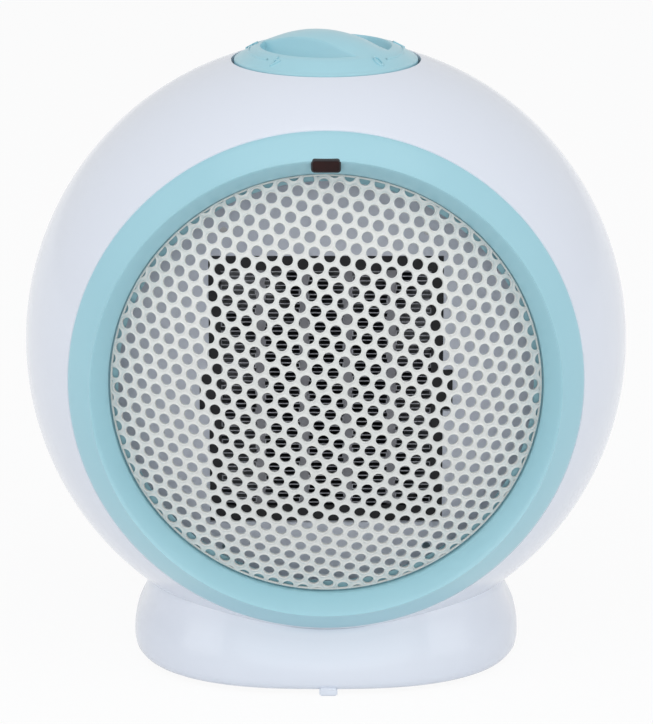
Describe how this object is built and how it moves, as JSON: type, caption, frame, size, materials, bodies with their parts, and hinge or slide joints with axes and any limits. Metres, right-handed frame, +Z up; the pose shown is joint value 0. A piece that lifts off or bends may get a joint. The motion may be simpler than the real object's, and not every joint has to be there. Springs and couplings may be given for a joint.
{
  "type": "ceramic fan heater",
  "caption": "Ball shaped ceramic fan heater with an aqua front ring, domed punched grille, a turning top knob, a motor driven fan and a low cradle stand.",
  "frame": {"origin": "on the floor under the centre of the ball shaped head", "axes": "+Z up, -Y out of the front grille, +X to the right of a person who faces the grille"},
  "size_m": [0.23, 0.173, 0.2401],
  "materials": {
    "shell_white": "glossy very pale lavender white moulding",
    "aqua_plastic": "satin aqua moulding",
    "grille_white": "white stoved enamel on punched sheet",
    "lens_red": "dark red tinted moulding",
    "lamp_glass": "clear lamp",
    "dish_white": "pale moulding",
    "baffle_grey": "lavender grey coated sheet",
    "frame_black": "black heat resistant moulding",
    "fin_aluminium": "bright folded sheet",
    "ptc_grey": "grey heating bars with electrodes",
    "steel": "plated steel",
    "duct_grey": "dark grey heat resistant moulding",
    "bronze": "sintered bronze",
    "lamination": "stacked steel sheets",
    "winding": "taped copper winding",
    "fan_plastic": "dark moulding",
    "stand_white": "glossy very pale white moulding",
    "gland_rubber": "pale rubber bush",
    "block_plastic": "natural moulding",
    "pin_white": "white pin"
  },
  "bodies": {
    "housing": {"front_shell": "shell_white", "rear_shell": "shell_white", "front_ring": "aqua_plastic", "front_grille": "grille_white", "indicator_lens": "lens_red", "indicator_lamp": "lamp_glass", "control_dish": "dish_white", "outlet_baffle": "baffle_grey", "element_frame": "frame_black", "thermostat_body": "frame_black", "tip_over_switch": "frame_black", "fin_strip_1": "fin_aluminium", "fin_strip_2": "fin_aluminium", "fin_strip_3": "fin_aluminium", "fin_strip_4": "fin_aluminium", "fin_strip_5": "fin_aluminium", "ptc_bar_1": "ptc_grey", "ptc_bar_2": "ptc_grey", "ptc_bar_3": "ptc_grey", "ptc_bar_4": "ptc_grey", "element_terminals": "steel", "thermostat_nut": "steel", "front_bearing_bracket": "steel", "rear_bearing_bracket": "steel", "ring_screws": "steel", "shell_screws": "steel", "duct_screws": "steel", "shroud_screws": "steel", "motor_screws": "steel", "head_screws": "steel", "base_screws": "steel", "air_duct": "duct_grey", "fan_shroud": "duct_grey", "front_bearing": "bronze", "rear_bearing": "bronze", "stator": "lamination", "motor_coil": "winding", "stand_shell": "stand_white", "base_plate": "stand_white", "feet": "stand_white", "cord_gland": "gland_rubber", "terminal_block": "block_plastic"},
    "fan": {"motor_shaft": "steel", "rotor": "lamination", "impeller": "fan_plastic"},
    "dial": {"control_knob": "aqua_plastic", "thermostat_shaft": "steel"},
    "tip_pin": {"tip_over_plunger": "pin_white"}
  },
  "joints": [
    {"name": "fan_spin", "type": "hinge", "parent": "housing", "child": "fan", "pos_m": [0, 0, 0.12], "axis": [0, 1, 0], "continuous": true},
    {"name": "knob_turn", "type": "hinge", "parent": "housing", "child": "dial", "pos_m": [0, 0, 0.22], "axis": [0, 0, 1], "range_deg": [-130, 130]},
    {"name": "tip_pin_travel", "type": "slide", "parent": "housing", "child": "tip_pin", "axis": [0, 0, -1], "range_m": [0, 0.004], "stiffness_N_per_m": 120, "springref_m": 0.006}
  ]
}
